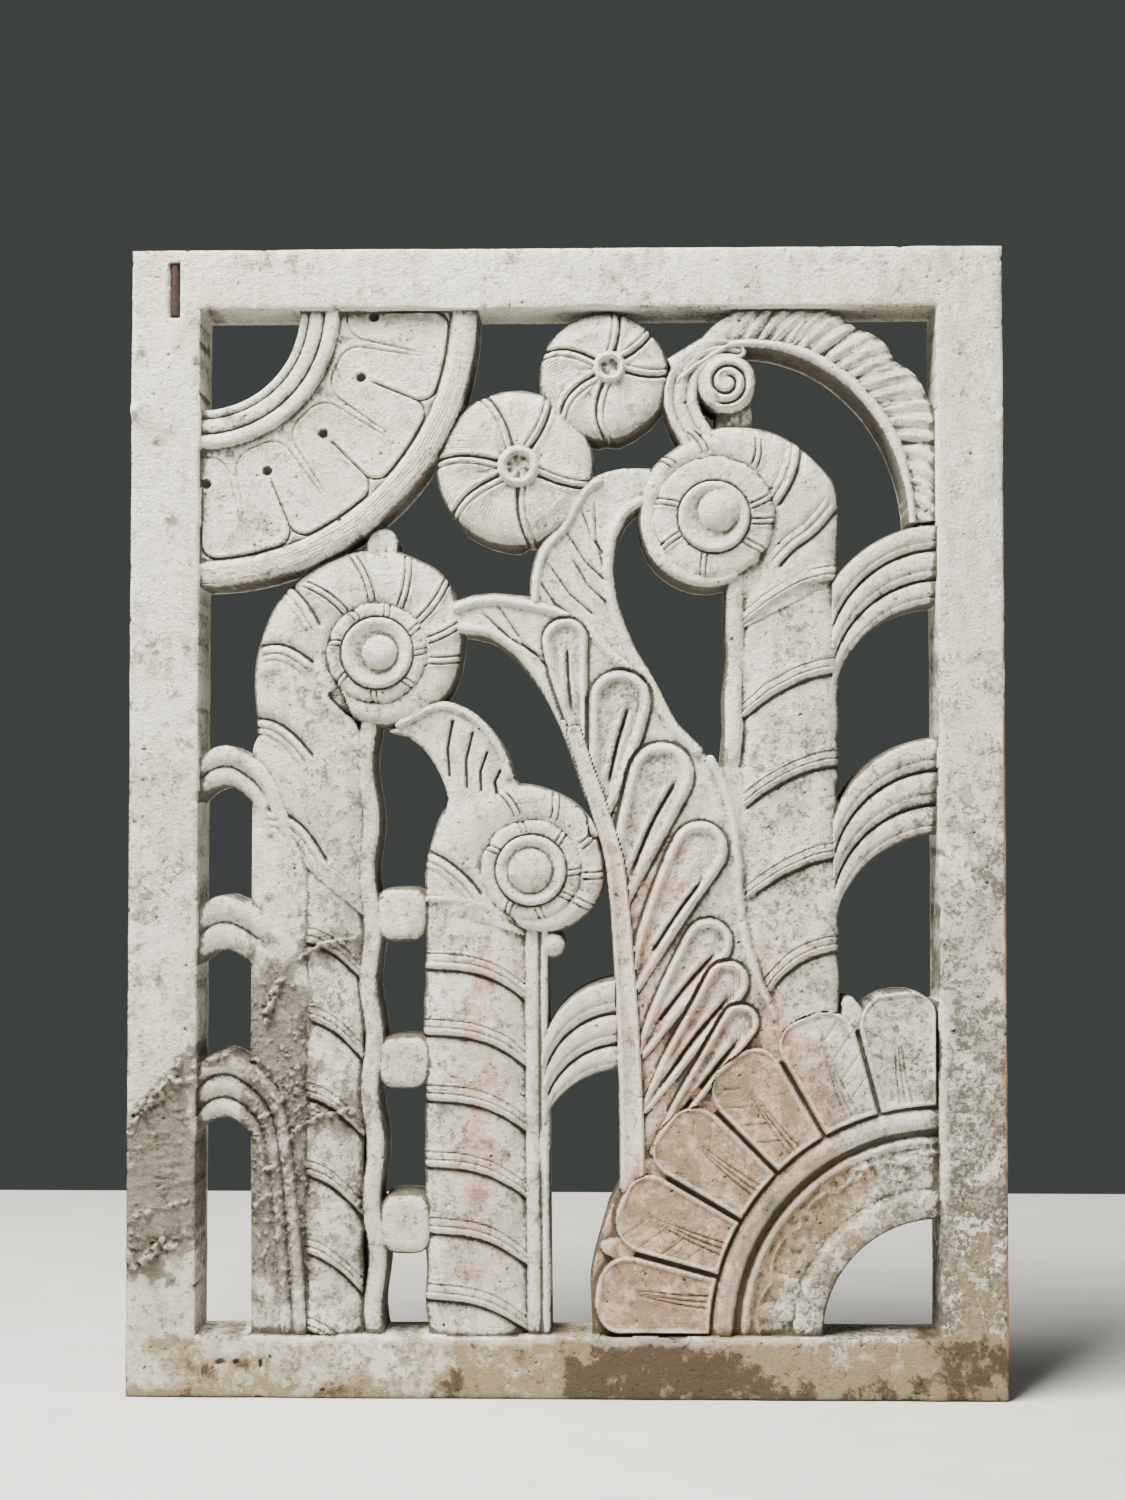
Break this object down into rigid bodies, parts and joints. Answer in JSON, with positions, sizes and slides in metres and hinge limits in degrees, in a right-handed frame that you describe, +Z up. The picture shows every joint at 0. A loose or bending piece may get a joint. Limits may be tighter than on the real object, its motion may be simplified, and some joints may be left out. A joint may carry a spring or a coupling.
{
  "type": "pierced concrete panel",
  "caption": "Upright rectangular frame round an openwork relief of curled fern fronds, flowers, a quarter sun and a fan of petals, cast in one and pierced right through.",
  "frame": {"origin": "The middle of the underside, at half the thickness.", "axes": "+X runs to the right seen from the front, +Y runs from the carved front to the flat back, +Z runs up."},
  "size_m": [0.61, 0.05, 0.8],
  "materials": {
    "whitewashed_concrete": "weathered whitewash",
    "rusted_steel": "rusted"
  },
  "bodies": {
    "root": {"panel": "whitewashed_concrete", "reinforcement_rod": "rusted_steel"}
  },
  "joints": []
}
